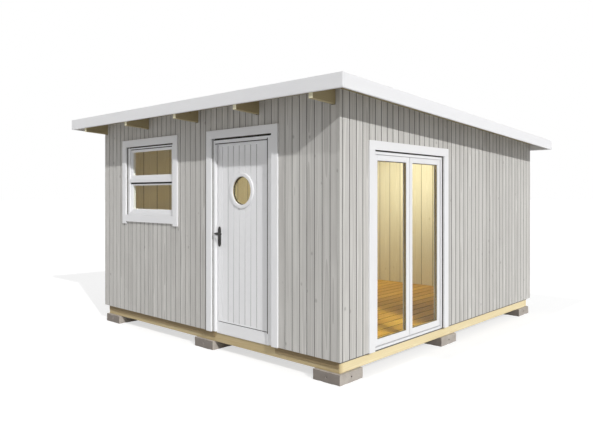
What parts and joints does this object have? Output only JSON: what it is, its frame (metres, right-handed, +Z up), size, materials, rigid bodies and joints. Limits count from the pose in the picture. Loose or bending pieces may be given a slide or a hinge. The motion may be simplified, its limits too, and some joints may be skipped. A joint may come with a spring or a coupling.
{
  "type": "wooden garden shed",
  "caption": "Square garden shed with a low mono-pitch roof, grey vertical board walls, white trim, a front door with a round window, a side window and a pair of glazed doors.",
  "frame": {"origin": "middle of the ground under the whole object, on the underside of the concrete blocks", "axes": "+Z up, +X to the right and +Y to the back, seen from the wall with the single door"},
  "size_m": [4.42, 4.2, 2.494],
  "materials": {
    "grey_cladding": "light grey stained vertical boards, pine inside",
    "white_paint": "white painted joinery, satin",
    "pine": "bare planed pine",
    "concrete": "rough cast concrete",
    "roofing_felt": "mineral surfaced felt",
    "black_iron": "black satin ironwork",
    "glass": "clear window glass"
  },
  "bodies": {
    "shed": {"front_blocks": "concrete", "middle_blocks": "concrete", "back_blocks": "concrete", "front_rim_joist": "pine", "back_rim_joist": "pine", "left_rim_joist": "pine", "right_rim_joist": "pine", "floor_joists": "pine", "floor_boards": "pine", "front_wall_left": "grey_cladding", "front_wall_under_window": "grey_cladding", "front_wall_over_window": "grey_cladding", "front_wall_middle": "grey_cladding", "front_wall_over_door": "grey_cladding", "front_wall_right": "grey_cladding", "right_wall_front": "grey_cladding", "right_wall_over_doors": "grey_cladding", "right_wall_back": "grey_cladding", "left_wall": "grey_cladding", "back_wall": "grey_cladding", "rafters": "pine", "roof_boards": "pine", "roofing_felt": "roofing_felt", "front_fascia": "white_paint", "back_fascia": "white_paint", "left_fascia": "white_paint", "right_fascia": "white_paint", "window_casing": "white_paint", "window_frame": "white_paint", "window_sashes": "white_paint", "window_glass": "glass", "door_casing": "white_paint", "door_frame": "white_paint", "door_hinge_pins": "black_iron", "glazed_door_casing": "white_paint", "glazed_door_frame": "white_paint", "glazed_hinge_pins": "black_iron"},
    "front_door": {"door_leaf": "white_paint", "porthole_ring": "white_paint", "porthole_inner_ring": "white_paint", "porthole_glass": "glass", "handle_plates": "black_iron", "door_hinge_knuckles": "black_iron"},
    "left_glazed_door": {"left_glazed_leaf": "white_paint", "left_glazed_pane": "glass", "left_hinge_knuckles": "black_iron"},
    "right_glazed_door": {"right_glazed_leaf": "white_paint", "right_glazed_pane": "glass", "right_hinge_knuckles": "black_iron"},
    "lever": {"door_lever": "black_iron"}
  },
  "joints": [
    {"name": "front_door_hinge", "type": "hinge", "parent": "shed", "child": "front_door", "pos_m": [1.0565, -1.721, 1.2], "axis": [0, 0, -1], "range_deg": [0, 95]},
    {"name": "left_glazed_hinge", "type": "hinge", "parent": "shed", "child": "left_glazed_door", "pos_m": [1.859, -1.325, 1.1], "axis": [0, 0, 1], "range_deg": [0, 100]},
    {"name": "right_glazed_hinge", "type": "hinge", "parent": "shed", "child": "right_glazed_door", "pos_m": [1.859, -0.211, 1.1], "axis": [0, 0, -1], "range_deg": [0, 100]},
    {"name": "lever_turn", "type": "hinge", "parent": "front_door", "child": "lever", "pos_m": [0.309, -1.768, 1.185], "axis": [0, 1, 0], "range_deg": [0, 40]}
  ]
}
